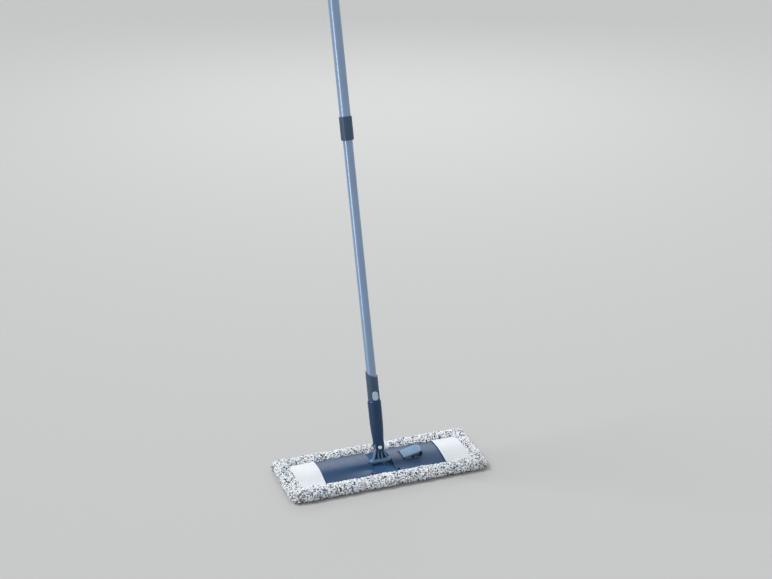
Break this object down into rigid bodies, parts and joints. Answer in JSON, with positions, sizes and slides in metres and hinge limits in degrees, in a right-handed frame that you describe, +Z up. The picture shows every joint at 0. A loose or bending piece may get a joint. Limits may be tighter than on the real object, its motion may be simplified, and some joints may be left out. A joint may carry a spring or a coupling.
{
  "type": "flat mop",
  "caption": "Flat mop: folding two-wing pocket frame with a foot pedal, chenille cover, two-axis joint, click socket and twist-lock telescopic pole.",
  "frame": {"origin": "on the floor under the middle of the joint, at the middle of the pad's underside", "axes": "+X along the pad, -Y to the mop's front, +Z up; the pole leans back towards +Y"},
  "size_m": [0.468, 0.4815, 1.315],
  "materials": {
    "navy_plastic": "satin moulded plastic",
    "light_plastic": "satin moulded plastic",
    "pole_lacquer": "light blue lacquer on aluminium tube",
    "grip_rubber": "soft matt grip",
    "pin_steel": "bright steel",
    "spring_steel": "spring steel",
    "white_plastic": "acetal",
    "chenille": "white chenille pile flecked with blue and navy",
    "pocket_cloth": "fine white mesh",
    "hem_tape": "woven tape"
  },
  "bodies": {
    "pole_upper": {"upper_tube": "pole_lacquer", "hand_grip": "grip_rubber", "hanging_eye": "navy_plastic", "clamp_collet": "white_plastic"},
    "collar": {"lock_collar": "navy_plastic"},
    "pole_lower": {"lower_tube": "pole_lacquer", "guide_plug": "white_plastic", "click_sleeve": "navy_plastic", "button_spring": "spring_steel"},
    "button": {"push_button": "light_plastic"},
    "socket": {"handle_socket": "navy_plastic", "cross_pin": "pin_steel", "pin_washer": "spring_steel"},
    "yoke_body": {"yoke": "light_plastic", "yoke_web": "navy_plastic"},
    "head": {"centre_block": "navy_plastic", "left_hinge_pin": "pin_steel", "right_hinge_pin": "pin_steel", "latch_cover": "navy_plastic", "latch_cover_screws": "pin_steel", "latch_spring": "spring_steel", "cover_centre": "chenille"},
    "latch": {"latch_slider": "pin_steel"},
    "wing_left": {"left_wing": "navy_plastic", "cover_left": "chenille", "pocket_left": "pocket_cloth", "hem_left": "hem_tape"},
    "wing_right": {"right_wing": "navy_plastic", "pedal_axle": "pin_steel", "pedal_spring": "spring_steel", "cover_right": "chenille", "pocket_right": "pocket_cloth", "hem_right": "hem_tape"},
    "pedal": {"foot_pedal": "light_plastic"},
    "rod": {"push_rod": "white_plastic"}
  },
  "joints": [
    {"name": "collar_twist", "type": "hinge", "parent": "pole_upper", "child": "collar", "pos_m": [0, 0.2222, 0.75429], "axis": [0, 0.2924, 0.9563], "range_deg": [0, 90]},
    {"name": "pole_extend", "type": "slide", "parent": "pole_upper", "child": "pole_lower", "axis": [0, 0.2924, 0.9563], "range_m": [0, 0.41]},
    {"name": "button_press", "type": "slide", "parent": "pole_lower", "child": "button", "axis": [0, 0.9563, -0.2924], "range_m": [0, 0.002], "stiffness_N_per_m": 600, "springref_m": -0.001, "deforming": ["button_spring"]},
    {"name": "handle_click", "type": "slide", "parent": "pole_lower", "child": "socket", "axis": [0, -0.2924, -0.9563], "range_m": [0, 0.045]},
    {"name": "side_tilt", "type": "hinge", "parent": "socket", "child": "yoke_body", "pos_m": [0, 0.00819, 0.05428], "axis": [0, -0.9563, 0.2924], "range_deg": [-60, 60]},
    {"name": "fore_aft_tilt", "type": "hinge", "parent": "yoke_body", "child": "head", "pos_m": [0, -0.00146, 0.02272], "axis": [1, 0, 0], "range_deg": [-92, 58]},
    {"name": "left_fold", "type": "hinge", "parent": "head", "child": "wing_left", "pos_m": [-0.028, 0, 0.0135], "axis": [0, -1, 0], "range_deg": [0, 85], "deforming": ["cover_centre"]},
    {"name": "right_fold", "type": "hinge", "parent": "head", "child": "wing_right", "pos_m": [0.028, 0, 0.0135], "axis": [0, 1, 0], "range_deg": [0, 85], "deforming": ["cover_centre"]},
    {"name": "pedal_press", "type": "hinge", "parent": "wing_right", "child": "pedal", "pos_m": [0.058, 0.0055, 0.0192], "axis": [0, 1, 0], "range_deg": [0, 10], "stiffness_Nm_per_rad": 0.4, "springref_deg": -8.59, "deforming": ["pedal_spring"]},
    {"name": "rod_slide", "type": "slide", "parent": "wing_right", "child": "rod", "axis": [-1, 0, 0], "range_m": [0, 0.0014]},
    {"name": "latch_slide", "type": "slide", "parent": "head", "child": "latch", "axis": [-1, 0, 0], "range_m": [0, 0.0014], "deforming": ["latch_spring"]}
  ],
  "couplings": [
    {"joint": "rod_slide", "follows": "pedal_press", "m_per_rad": 0.0074},
    {"joint": "latch_slide", "follows": "pedal_press", "m_per_rad": 0.0074}
  ]
}
